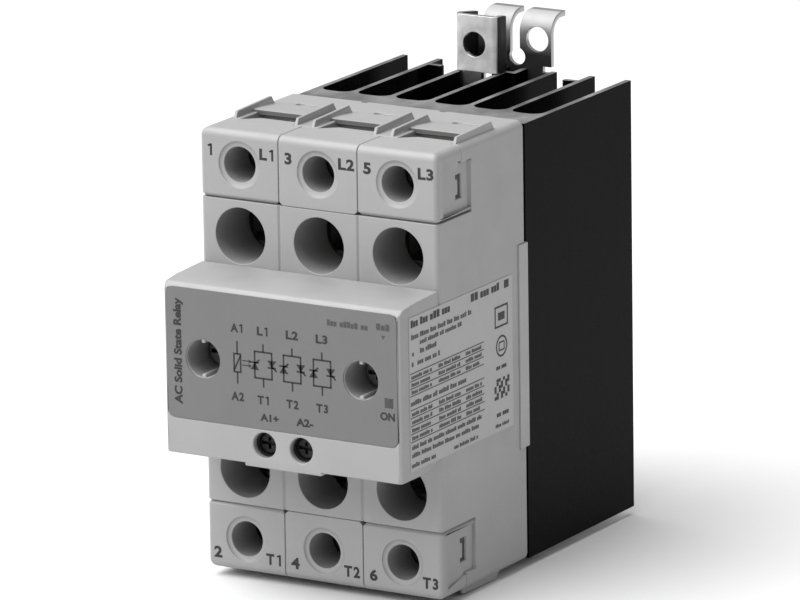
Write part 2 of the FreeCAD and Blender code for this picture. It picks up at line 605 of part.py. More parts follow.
def curl_section():
    """The (y, z) section of the plate's curled-back top edge, as a face at the plate's left side."""
    centre_y = SINK_BACK + CURL_R
    corner = math.sqrt(0.5)
    inner_r = CURL_R - SHEET

    def at(y, z):
        return Vector(CLIP_LEFT, y, z)

    outer = Part.Arc(at(SINK_BACK, CURL_Z), at(centre_y - CURL_R * corner, CURL_Z + CURL_R * corner),
                     at(centre_y, CURL_Z + CURL_R)).toShape()
    inner = Part.Arc(at(centre_y, CURL_Z + inner_r), at(centre_y - inner_r * corner, CURL_Z + inner_r * corner),
                     at(PLATE_BACK, CURL_Z)).toShape()
    sides = [Part.makeLine(at(centre_y, CURL_Z + CURL_R), at(CURL_END, CURL_Z + CURL_R)),
             Part.makeLine(at(CURL_END, CURL_Z + CURL_R), at(CURL_END, CURL_Z + inner_r)),
             Part.makeLine(at(CURL_END, CURL_Z + inner_r), at(centre_y, CURL_Z + inner_r))]
    bottom = Part.makeLine(at(PLATE_BACK, CURL_Z), at(SINK_BACK, CURL_Z))
    return Part.Face(Part.Wire([outer] + sides + [inner, bottom]))


def rail_hook(x):
    """A fixed hook under the rail's lower edge."""
    edge = RAIL_MID - RAIL / 2 - RAIL_PLAY
    floor = box(x - 2.2, x + 2.2, SINK_BACK, PLATE_BACK + RAIL_SHEET_GAP + SHEET, edge - SHEET, edge)
    lip = box(x - 2.2, x + 2.2, PLATE_BACK + RAIL_SHEET_GAP, PLATE_BACK + RAIL_SHEET_GAP + SHEET,
              edge - SHEET, edge + RAIL_PLAY + HOOK_LAP)
    return fuse([floor, lip])


def din_bracket():
    plate = box(PLATE_LEFT, CLIP_RIGHT, SINK_BACK, PLATE_BACK, PLATE_LOW, CURL_Z)
    curl = curl_section().extrude(Vector(CLIP_RIGHT - CLIP_LEFT, 0, 0))
    tab = box(STRIP_LEFT + 0.3, STRIP_RIGHT - 0.2, 71.5, PLATE_BACK, SPRING_TOP + 0.1, SPRING_TOP + 1.3)
    bracket = fuse([plate, curl, tab, rail_hook(-5.6), rail_hook(5.6)])
    latch_window_low = RAIL_MID + RAIL / 2
    front, back = SINK_BACK - 1, CURL_END + 1
    slot_left, slot_right = CLIP_SLOT_X - CLIP_SLOT_HALF, CLIP_SLOT_X + CLIP_SLOT_HALF
    removed = [box(slot_left, slot_right, front, back, CLIP_SLOT_LOW, 110),
               rod_y(CLIP_SLOT_X + 0.5, CLIP_SLOT_LOW, 1.8, front, back),
               rod_y(EAR_HOLE_X, EAR_HOLE_Z, EAR_HOLE_R, front, PLATE_BACK + 1),
               box(CLIP_RIGHT - 2.0, CLIP_RIGHT + 1, front, PLATE_BACK + 1, 88.55, 89.8),
               box(STRIP_LEFT - 0.3, STRIP_RIGHT + 0.3, front, PLATE_BACK + 1, latch_window_low,
                   latch_window_low + RAIL_PLAY + SHEET + LATCH_TRAVEL + 0.4),
               box(STRIP_LEFT + 0.3, STRIP_RIGHT - 0.2, front, PLATE_BACK + 1, SPRING_TOP + 1.3, SPRING_TOP + 6.0)]
    removed += [rod_y(0, z, 1.6, front, PLATE_BACK + 1) for z in BRACKET_SCREW_Z]
    bracket = bracket.cut(fuse(removed))
    corners = edges_where(bracket, Y_AXIS, lambda c: near(c.z, PLATE_LOW))
    return bracket.makeFillet(2.0, corners)


def rail_latch():
    """The sliding latch: a folded head to lift it by, a strip between two fins and a hook over the rail."""
    walls_back = SINK_BACK - 0.2
    head = box(HEAD_LEFT, HEAD_RIGHT, HEAD_FRONT, walls_back, HEAD_LOW, HEAD_TOP)
    bends = edges_where(head, Z_AXIS, lambda c: near(c.y, HEAD_FRONT))
    head = head.makeFillet(1.6, bends)
    room = box(HEAD_LEFT + SHEET, HEAD_RIGHT - SHEET, HEAD_FRONT + SHEET, walls_back + 1,
               HEAD_LOW - 1, HEAD_TOP + 1)
    short = box(HEAD_RIGHT - SHEET - 1, HEAD_RIGHT + 1, HEAD_RIGHT_WALL, walls_back + 1, HEAD_LOW - 1, HEAD_TOP + 1)
    slope = prism_x([(HEAD_FRONT + 2, HEAD_TOP + 0.01), (walls_back + 1, HEAD_TOP + 0.01),
                     (walls_back + 1, HEAD_TOP - 1.1)], HEAD_LEFT - 1, HEAD_RIGHT + 1)
    grip = rod_y(GRIP_HOLE_X, GRIP_HOLE_Z, EAR_HOLE_R, HEAD_FRONT - 1, HEAD_FRONT + SHEET + 1)
    head = head.cut(fuse([room, short, slope, grip]))
    rail_top = RAIL_MID + RAIL / 2
    leg_low = rail_top + RAIL_PLAY
    lip_front = PLATE_BACK + RAIL_SHEET_GAP
    strip = box(STRIP_LEFT, STRIP_RIGHT, HEAD_FRONT, HEAD_FRONT + SHEET, leg_low, HEAD_LOW + 1)
    leg = box(STRIP_LEFT, STRIP_RIGHT, HEAD_FRONT, lip_front + SHEET, leg_low, leg_low + SHEET)
    lip = box(STRIP_LEFT, STRIP_RIGHT, lip_front, lip_front + SHEET, rail_top - HOOK_LAP, leg_low + SHEET)
    return fuse([head, strip, leg, lip])


def latch_spring():
    """A compression spring that holds the latch down on the rail."""
    wire_r, mean_r, pitch = 0.3, 1.4, 1.55
    low = RAIL_MID + RAIL / 2 + RAIL_PLAY + SHEET + 0.1 + wire_r
    high = SPRING_TOP - wire_r
    helix = Part.makeHelix(pitch, high - low, mean_r)
    profile = Part.Wire(Part.makeCircle(wire_r, Vector(mean_r, 0, 0), Vector(0, 1, 0)))
    coil = Part.Wire(helix.Edges).makePipeShell([profile], True, True)
    coil.translate(Vector(SPRING_X, SPRING_Y, low))
    return coil


def bracket_screw(z):
    head = rod_y(0, z, 2.75, PLATE_BACK, PLATE_BACK + 2.0)
    head = head.makeFillet(0.6, [e for e in head.Edges if near(e.CenterOfMass.y, PLATE_BACK + 2.0)])
    shank = rod_y(0, z, 1.5, 74.5, PLATE_BACK + 0.5)
    recess = cross_slot(0, z, 0, 3.6, 0.8, 1.0)
    recess.translate(Vector(0, PLATE_BACK + 1.0, 0))
    return fuse([head, shank]).cut(recess)


def group(shapes):
    """Several separate solids in one node."""
    return Part.makeCompound(list(shapes))


def pole_parts():
    """The six poles' own parts, named after their terminals."""
    parts = {}
    for number, x in enumerate(POLES):
        for label, place in (("L%d" % (number + 1), lambda s: s), ("T%d" % (number + 1), flip)):
            parts["terminal_cap_" + label] = place(upper_cap(x))
            parts["terminal_frame_" + label] = place(terminal_frame(x))
            parts["terminal_screw_" + label] = place(terminal_screw(x))
            parts["wedge_nut_" + label] = place(wedge_nut(x))
            parts["clamp_jaw_" + label] = place(clamp_jaw(x))
    return parts


def control_parts():
    parts = {}
    for name, side in (("A1", -1), ("A2", 1)):
        parts["control_screw_" + name] = control_screw(side)
        parts["control_clamp_" + name] = control_clamp(side)
    parts["control_contacts"] = group(control_contact(side) for side in (-1, 1))
    parts["control_block"] = control_block()
    return parts


def electronics():
    spread = (-10.0, 0.0, 10.0)
    ends = [(x, side) for x in POLES for side in (-1, 1)]
    return {
        "circuit_board": circuit_board(),
        "opto_couplers": group(opto_coupler(x) for x in spread),
        "varistors": group(varistor(x) for x in spread),
        "snubber_capacitors": group(snubber_capacitor(x) for x in spread),
        "gate_resistors": group(gate_resistor(x) for x in spread),
        "gate_pins": group(gate_pin(x + GATE_OFFSET_X, MID_Z + side * GATE_OFFSET_Z) for x, side in ends),
        "indicator_led": indicator_led(),
        "light_guide": light_guide(),
        "ceramic_substrates": group(ceramic_substrate(x) for x in POLES),
        "thyristor_dies": group(thyristor_die(x, MID_Z + side * DIE_OFFSET) for x, side in ends),
    }


def casing_and_clip():
    return {
        "main_housing": main_housing(),
        "base_frame": base_frame(),
        "front_cover": front_cover(),
        "front_label": front_label(),
        "side_label": side_label(),
        "fixing_screws": group(fixing_screw(side) for side in (-1, 1)),
        "fixing_washers": group(fixing_washer(side) for side in (-1, 1)),
        "heat_sink": heat_sink(),
        "din_bracket": din_bracket(),
        "bracket_screws": group(bracket_screw(z) for z in BRACKET_SCREW_Z),
        "rail_latch": rail_latch(),
        "latch_spring": latch_spring(),
    }


def export(parts):
    """Moves the model onto its base's middle and writes one STEP file for each part."""
    os.makedirs("parts", exist_ok=True)
    whole = FreeCAD.BoundBox()
    for shape in parts.values():
        whole.add(shape.BoundBox)
    shift = Vector(-whole.Center.x, -whole.Center.y, -whole.ZMin)
    print("size", whole.XLength, whole.YLength, whole.ZLength, "shift", shift)
    for name, shape in sorted(parts.items()):
        moved = shape.copy()
        moved.translate(shift)
        moved.exportStep(os.path.join("parts", name + ".step"))
        print(name, "solids", len(moved.Solids), "valid", moved.isValid(), "volume", round(moved.Volume, 1))


export({**casing_and_clip(), **pole_parts(), **control_parts(), **electronics()})
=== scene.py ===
"""A three-pole solid state relay: finishes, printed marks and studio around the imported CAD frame."""

import json
import math
import random

import bmesh
import bpy
from mathutils import Matrix, Vector


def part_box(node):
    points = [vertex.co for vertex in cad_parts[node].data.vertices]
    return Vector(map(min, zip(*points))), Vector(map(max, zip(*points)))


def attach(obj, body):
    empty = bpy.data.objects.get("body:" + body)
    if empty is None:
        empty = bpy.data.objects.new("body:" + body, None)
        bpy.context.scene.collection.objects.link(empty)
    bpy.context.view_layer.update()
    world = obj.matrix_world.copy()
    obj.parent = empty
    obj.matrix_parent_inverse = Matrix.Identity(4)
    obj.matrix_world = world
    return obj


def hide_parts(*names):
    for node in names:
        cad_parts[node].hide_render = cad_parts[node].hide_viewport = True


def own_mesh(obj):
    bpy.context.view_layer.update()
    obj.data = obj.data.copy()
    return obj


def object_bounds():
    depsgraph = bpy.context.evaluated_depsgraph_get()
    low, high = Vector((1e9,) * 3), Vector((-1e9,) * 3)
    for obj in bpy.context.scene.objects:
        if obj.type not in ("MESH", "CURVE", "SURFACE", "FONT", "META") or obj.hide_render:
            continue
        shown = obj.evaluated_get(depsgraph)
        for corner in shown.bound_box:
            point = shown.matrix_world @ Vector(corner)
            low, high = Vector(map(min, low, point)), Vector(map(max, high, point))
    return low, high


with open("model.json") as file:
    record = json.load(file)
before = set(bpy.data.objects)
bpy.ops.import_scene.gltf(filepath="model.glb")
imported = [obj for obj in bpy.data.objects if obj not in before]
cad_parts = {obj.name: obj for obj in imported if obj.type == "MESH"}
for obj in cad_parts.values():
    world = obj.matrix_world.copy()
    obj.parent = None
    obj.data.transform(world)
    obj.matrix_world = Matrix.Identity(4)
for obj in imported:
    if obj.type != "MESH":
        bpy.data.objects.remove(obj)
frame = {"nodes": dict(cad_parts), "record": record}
cad_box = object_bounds()

MM = 0.001
ROOT = "relay"
POLES = ("1", "2", "3")
TERMINALS = [end + pole for end in ("L", "T") for pole in POLES]
NUMBERS = dict(zip(TERMINALS, ("1", "3", "5", "2", "4", "6")))


# ---------------------------------------------------------------- materials


class Finish:
    """A Principled material with short calls for the nodes that these finishes share."""

    def __init__(self, name, colour, roughness, metallic=0.0):
        self.material = bpy.data.materials.new(name)
        self.material.use_nodes = True
        self.tree = self.material.node_tree
        self.shader = self.tree.nodes["Principled BSDF"]
        self.shader.inputs["Base Color"].default_value = (*colour, 1)
        self.shader.inputs["Roughness"].default_value = roughness
        self.shader.inputs["Metallic"].default_value = metallic
        self.place = self.tree.nodes.new("ShaderNodeTexCoord").outputs["Object"]

    def node(self, kind, **inputs):
        """A new node with its inputs linked or set; a space in an input's name is written as _."""
        node = self.tree.nodes.new(kind)
        for name, value in inputs.items():
            socket = node.inputs[name.replace("_", " ")]
            if isinstance(value, bpy.types.NodeSocket):
                self.tree.links.new(value, socket)
            else:
                socket.default_value = value
        return node

    def noise(self, size_mm, detail=3.0, stretch=(1, 1, 1)):
        """Cloudy noise with features of about this size, stretched along the axes."""
        mapping = self.node("ShaderNodeMapping", Vector=self.place, Scale=[1 / s for s in stretch])
        texture = self.node("ShaderNodeTexNoise", Vector=mapping.outputs["Vector"],
                            Scale=1 / (size_mm * MM), Detail=detail)
        return texture.outputs["Fac"]

    def ramp(self, factor, low, high, start=0.3, end=0.7):
        """A factor spread between two values or two colours."""
        node = self.node("ShaderNodeValToRGB", Fac=factor)
        ends = node.color_ramp.elements
        for element, position, value in ((ends[0], start, low), (ends[1], end, high)):
            element.position = position
            element.color = (*value, 1) if isinstance(value, tuple) else (value, value, value, 1)
        return node.outputs["Color"]

    def colour(self, factor, low, high, start=0.3, end=0.7):
        self.tree.links.new(self.ramp(factor, low, high, start, end), self.shader.inputs["Base Color"])

    def roughness(self, factor, low, high, start=0.3, end=0.7):
        self.tree.links.new(self.ramp(factor, low, high, start, end), self.shader.inputs["Roughness"])

    def bump(self, height, strength, distance_mm, under=None):
        """Relief of this depth, on top of the relief under it."""
        extra = {"Normal": under} if under else {}
        node = self.node("ShaderNodeBump", Height=height, Strength=strength,
                         Distance=distance_mm * MM, **extra)
        self.tree.links.new(node.outputs["Normal"], self.shader.inputs["Normal"])
        return node.outputs["Normal"]


def grey(value):
    """A colour with the same red, green and blue."""
    return (value, value, value)


def moulded(name, tone, roughness=0.45, grain=1.0):
    """Moulded plastic: a fine eroded grain, slight clouding and a few dull patches."""
    finish = Finish(name, grey(tone), roughness)
    finish.colour(finish.noise(14, 4), grey(tone * 0.96), grey(tone * 1.03))
    finish.roughness(finish.noise(5, 5), roughness - 0.06, roughness + 0.08)
    swirl = finish.bump(finish.noise(2.5, 2), 0.05 * grain, 0.1)
    finish.bump(finish.noise(0.22, 2), 0.16 * grain, 0.05, swirl)
    return finish.material


def film(name, tone, roughness):
    """Printed polyester film: nearly flat, with slight ripples from the glue under it."""
    finish = Finish(name, grey(tone), roughness)
    finish.colour(finish.noise(9, 3), grey(tone * 0.97), grey(tone * 1.02))
    finish.roughness(finish.noise(3, 4), roughness - 0.05, roughness + 0.06)
    ripple = finish.bump(finish.noise(6, 2), 0.05, 0.2)
    finish.bump(finish.noise(0.15, 2), 0.08, 0.02, ripple)
    return finish.material


def anodised():
    """Black anodised extrusion, nearly dull, with faint draw lines along its length."""
    finish = Finish("black_anodised", grey(0.002), 0.1)
    finish.shader.inputs["Specular IOR Level"].default_value = 0.025
    lines = finish.noise(0.35, 3, (1, 1, 90))
    finish.colour(lines, grey(0.0015), grey(0.003))
    finish.roughness(finish.noise(8, 4), 0.22, 0.3)
    finish.bump(lines, 0.04, 0.03)
    return finish.material


def sawn():
    """The extrusion's cut ends: bare aluminium with saw marks from front to back."""
    finish = Finish("sawn_aluminium", grey(0.2), 0.42, 1.0)
    marks = finish.noise(0.5, 4, (1, 26, 1))
    finish.colour(finish.noise(8.0, 3), grey(0.16), grey(0.5))
    finish.roughness(marks, 0.34, 0.5)
    finish.bump(marks, 0.25, 0.05)
    return finish.material


def zinc(name, tone, roughness, metallic=1.0, clouding=0.12):
    """Zinc-plated sheet: soft clouding and fine rolling lines."""
    finish = Finish(name, grey(tone), roughness, metallic)
    finish.colour(finish.noise(3, 4), grey(tone * (1 - clouding)), grey(tone * (1 + clouding / 2)))
    finish.roughness(finish.noise(3, 3), roughness - 0.04, roughness + 0.06)
    finish.bump(finish.noise(0.3, 3, (1, 1, 24)), 0.06, 0.02)
    return finish.material


def zinc_with_painted_shade(name, tone, painted_shade_tone, low, high):
    """Zinc-plated sheet with painted shade: its colour goes dark between two heights, down among the fins.
    """
    finish = Finish(name, grey(tone), 0.6, 0.3)
    height = finish.node("ShaderNodeSeparateXYZ", Vector=finish.place).outputs["Z"]
    lit = finish.node("ShaderNodeMapRange", Value=height, From_Min=low, From_Max=high).outputs["Result"]
    finish.colour(lit, grey(painted_shade_tone), grey(tone), 0.0, 1.0)
    finish.roughness(finish.noise(3, 3), 0.55, 0.65)
    finish.bump(finish.noise(0.3, 3, (1, 1, 24)), 0.06, 0.02)
    return finish.material


def metal(name, colour, roughness):
    """Bare or plated metal, with clouding and fine scratches."""
    finish = Finish(name, colour, roughness, 1.0)
    dark = tuple(c * 0.85 for c in colour)
    finish.colour(finish.noise(2.5, 4), dark, colour)
    finish.roughness(finish.noise(1.2, 4), roughness - 0.07, roughness + 0.1)
    finish.bump(finish.noise(0.25, 3), 0.15, 0.03)
    return finish.material


def coating(name, colour, roughness, size_mm=1.5):
    """Lacquer, epoxy or ceramic on the parts inside."""
    finish = Finish(name, colour, roughness)
    finish.colour(finish.noise(size_mm, 4), tuple(c * 0.9 for c in colour), colour)
    finish.roughness(finish.noise(size_mm, 4), roughness - 0.05, roughness + 0.08)
    finish.bump(finish.noise(size_mm / 4, 2), 0.15, 0.04)
    return finish.material


def clear_plastic():
    """The light guide's smoky clear plastic."""
    finish = Finish("clear_plastic", grey(0.05), 0.18)
    finish.shader.inputs["Transmission Weight"].default_value = 0.3
    finish.colour(finish.noise(1.0, 3), grey(0.03), grey(0.07))
    finish.bump(finish.noise(0.4, 2), 0.1, 0.03)
    return finish.material


def ink(name, tone):
    """Printing ink, a little uneven in its cover."""
    finish = Finish(name, grey(tone), 0.55)
    finish.colour(finish.noise(0.5, 3), grey(tone * 0.8), grey(tone * 1.3))
    finish.bump(finish.noise(0.12, 2), 0.1, 0.01)
    return finish.material


MATERIALS = {
    "housing_plastic": moulded("housing_plastic", 0.3),
    "frame_plastic": moulded("frame_plastic", 0.33, 0.4),
    "front_label": film("front_label", 0.134, 0.4),
    "side_label": film("side_label", 0.36, 0.42),
    "clear_plastic": clear_plastic(),
    "led": coating("led", (0.5, 0.6, 0.4), 0.3),
    "circuit_board": coating("circuit_board", (0.02, 0.09, 0.04), 0.35, 3.0),
    "component_black": coating("component_black", grey(0.02), 0.5),
    "varistor_blue": coating("varistor_blue", (0.02, 0.06, 0.22), 0.35, 3.0),
    "capacitor_yellow": coating("capacitor_yellow", (0.5, 0.36, 0.06), 0.4),
    "resistor_body": coating("resistor_body", (0.4, 0.32, 0.2), 0.4),
    "screw_steel": metal("screw_steel", grey(0.13), 0.5),
    "clamp_steel": metal("clamp_steel", grey(0.45), 0.42),
    # tinned_brass is much darker than bright tin: painted shade on the frames, whose tops lie under the
    # roof's opening.
    "tinned_brass": metal("tinned_brass", (0.2, 0.195, 0.18), 0.5),
    "ceramic": coating("ceramic", grey(0.75), 0.5),
    "silicon": coating("silicon", grey(0.06), 0.2),
    "black_anodised": anodised(),
    "zinc_sheet": zinc("zinc_sheet", 0.5, 0.33),
    "spring_steel": metal("spring_steel", grey(0.35), 0.3),
}
SAWN = sawn()
# Lighter and darker copies of the zinc for the latch's head: painted light on its front, painted shade on
# its right-facing walls.
HEAD_PAINTED_LIGHT_ZINC = zinc("head_painted_light_zinc", 0.6, 0.55, 0.35, 0.3)
HEAD_PAINTED_SHADE_ZINC = zinc("head_painted_shade_zinc", 0.05, 0.45)
# Heights between which the painted shade on the bracket's front goes from dark, among the fins, to its full
# tone.
PAINTED_SHADE_HEIGHTS = (93.8 * MM, 101.2 * MM)
PLATE_PAINTED_SHADE = zinc_with_painted_shade("zinc_with_painted_shade", 0.4, 0.015, *PAINTED_SHADE_HEIGHTS)
# Near-black steel: painted shade on the control screws deep in their holes.
SCREW_PAINTED_SHADE_STEEL = metal("screw_painted_shade_steel", grey(0.05), 0.6)
# A darker copy of the housing plastic: painted shade inside deep holes.
BORE_PAINTED_SHADE = moulded("bore_painted_shade_plastic", 0.24, 0.6)
# Near-black plastic: painted shade at the bottom of recessed marks.
SIDE_MARK_PAINTED_SHADE = moulded("side_mark_painted_shade_plastic", 0.05, 0.6)
BLACK_INK = ink("black_ink", 0.012)
GREY_INK = ink("grey_ink", 0.05)


# ---------------------------------------------------------------- CAD pieces with finished edges

ROUND_ABOVE = math.radians(28)
SMOOTH_BELOW = math.radians(40)
BODIES = frame["record"]["behaviour"]["bodies"]
BODY_OF = {node: body for body, nodes in BODIES.items() for node in nodes}
SLOT_OF = {part["node"]: part["material_slot"] for part in frame["record"]["subparts"]}


def welded(node):
    """A CAD node's mesh in a bmesh, with its triangles joined along their edges."""
    mesh = bmesh.new()
    mesh.from_mesh(frame["nodes"][node].data)
    bmesh.ops.remove_doubles(mesh, verts=mesh.verts, dist=0.001 * MM)
    return mesh


def round_edges(mesh, width, segments):
    """Rounds every sharp outer edge, and leaves inner corners sharp."""
    sharp = [e for e in mesh.edges
             if e.is_manifold and e.is_convex and e.calc_face_angle() > ROUND_ABOVE]
    bmesh.ops.bevel(mesh, geom=sharp, offset=width, offset_type="OFFSET", segments=segments,
                    profile=0.5, affect="EDGES", clamp_overlap=False, loop_slide=False)


def add_piece(name, mesh, body, materials):
    """A finished object from a bmesh, smooth across small angles and riding on its body."""
    data = bpy.data.meshes.new(name)
    mesh.to_mesh(data)
    mesh.free()
    piece = bpy.data.objects.new(name, data)
    bpy.context.collection.objects.link(piece)
    for material in materials:
        data.materials.append(material)
    data.shade_smooth()
    data.set_sharp_from_angle(angle=SMOOTH_BELOW)
    weighted = piece.modifiers.new("weighted", "WEIGHTED_NORMAL")
    weighted.keep_sharp = True
    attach(piece, body)
    return piece


def finished(node, width_mm, segments=2):
    """Replaces a CAD node by a copy of it with rounded edges."""
    mesh = welded(node)
    round_edges(mesh, width_mm * MM, segments)
    slot = SLOT_OF[node]
    piece = add_piece(node + "_finished", mesh, BODY_OF[node], [MATERIALS[slot]])
    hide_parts(node)
    return piece


def plain(node):
    """Gives a CAD node that is already right its finish."""
    for slot in frame["nodes"][node].material_slots:
        slot.material = MATERIALS[SLOT_OF[node]]


EDGES_MM = {"main_housing": 0.16, "front_cover": 0.3, "base_frame": 0.15, "heat_sink": 0.1,
            "din_bracket": 0.16, "rail_latch": 0.16, "front_label": 0.06, "latch_spring": 0.04}
EDGES_MM.update({"terminal_cap_" + t: 0.2 for t in TERMINALS})

pieces = {}
for node in sorted(frame["nodes"]):
    if node in EDGES_MM:
        pieces[node] = finished(node, EDGES_MM[node])
    else:
        plain(node)


def squash_spring(piece):
    """Gives the spring a mesh of its own."""
    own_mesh(piece)


# How nearly square to an axis a face has to stand, from 0 to 1, to take a finish.
FACING = 0.9
HEAD_FRONT_FACING, HEAD_WALL_FACING = 0.8, 0.75
PLATE_FRONT_FACING, PLATE_SIDE_FACING = 0.05, 0.7


def bare_ends(piece):
    """Gives the cut ends of the extrusion their sawn finish."""
    piece.data.materials.append(SAWN)
    for face in piece.data.polygons:
        if abs(face.normal.z) > FACING:
            face.material_index = 1


def paint_head_light_and_shade(piece, above):
    """Gives the latch's head a front in a lighter, duller copy of the zinc, which is painted light, and
    walls on the right in a dark copy, which is painted shade.
    """
    for material in (HEAD_PAINTED_LIGHT_ZINC, HEAD_PAINTED_SHADE_ZINC):
        piece.data.materials.append(material)
    for face in piece.data.polygons:
        if face.center.z < above:
            continue
        if face.normal.y < -HEAD_FRONT_FACING:
            face.material_index = 1
        elif face.normal.x > HEAD_WALL_FACING:
            face.material_index = 2


def paint_shade_on_plate(piece):
    """Paints shade on the bracket's front and the top of its curl, with the zinc that goes dark among the
    fins.
    """
    piece.data.materials.append(PLATE_PAINTED_SHADE)
    for face in piece.data.polygons:
        if face.normal.y < -PLATE_FRONT_FACING and abs(face.normal.x) < PLATE_SIDE_FACING:
            face.material_index = 1


squash_spring(pieces["latch_spring"])
bare_ends(pieces["heat_sink"])
paint_head_light_and_shade(pieces["rail_latch"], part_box("heat_sink")[1].z)
paint_shade_on_plate(pieces["din_bracket"])


def middle_of(node):
    """The centre of a CAD node's box."""
    low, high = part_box(node)
    return (low + high) / 2


def paint_shade_in_bores(piece, centres, radius_mm, rim_mm, keep_low_mm=0.0):
    """Paints shade on the walls of holes that run front to back, with a darker plastic, but for a strip at
    the bottom.
    """
    data = piece.data
    data.materials.append(BORE_PAINTED_SHADE)
    front = min(v.co.y for v in data.vertices)
    for face in data.polygons:
        if abs(face.normal.y) > FACING:
            continue
        for centre in centres:
            across, up = face.center.x - centre.x, face.center.z - centre.z
            kept = up < 0 and abs(across) < keep_low_mm * MM
            inside = math.hypot(across, up) < radius_mm * MM and face.center.y > front + rim_mm * MM
            if inside and not kept:
                face.material_index = len(data.materials) - 1


def paint_shade_in_side_mark(piece):
    """Paints shade on the bottom of the bracket-shaped mark in an outer cap's cheek, with a near-black
    plastic.
    """
    data = piece.data
    data.materials.append(SIDE_MARK_PAINTED_SHADE)
    side = max(abs(v.co.x) for v in data.vertices)
    for face in data.polygons:
        depth = side - abs(face.center.x)
        if abs(face.normal.x) > FACING and MARK_DEPTH[0] < depth < MARK_DEPTH[1]:
            face.material_index = len(data.materials) - 1


MARK_DEPTH = (0.8 * MM, 1.25 * MM)
WIRE_ENTRY_MM, CAP_HOLE_MM, CONTROL_HOLE_MM, WELL_MM = 5.9, 3.85, 2.75, 4.15
WELL_SIDE = 18 * MM
WIRE_ENTRIES = [Vector(m["pos_m"]) for m in frame["record"]["mounts"] if m["name"].startswith("wire_entry")]
paint_shade_in_bores(pieces["main_housing"], WIRE_ENTRIES, WIRE_ENTRY_MM, rim_mm=0.4)
for terminal in TERMINALS:
    screw = middle_of("terminal_screw_" + terminal)
    paint_shade_in_bores(pieces["terminal_cap_" + terminal], [screw], CAP_HOLE_MM, rim_mm=0.4)
for terminal in ("L1", "L3", "T1", "T3"):
    paint_shade_in_side_mark(pieces["terminal_cap_" + terminal])
CONTROL_HOLES = [middle_of("control_screw_" + name) for name in ("A1", "A2")]
SCREW_WELLS = [middle_of("fixing_screws") + Vector((side * WELL_SIDE, 0, 0)) for side in (-1, 1)]
paint_shade_in_bores(pieces["front_cover"], CONTROL_HOLES, CONTROL_HOLE_MM, rim_mm=0.1)
paint_shade_in_bores(pieces["front_cover"], SCREW_WELLS, WELL_MM, rim_mm=0.02, keep_low_mm=0.5)
# The control screws get near-black steel: painted shade.
for name in ("A1", "A2"):
    frame["nodes"]["control_screw_" + name].material_slots[0].material = SCREW_PAINTED_SHADE_STEEL


# ---------------------------------------------------------------- printed marks

INK_THICK = 0.03 * MM


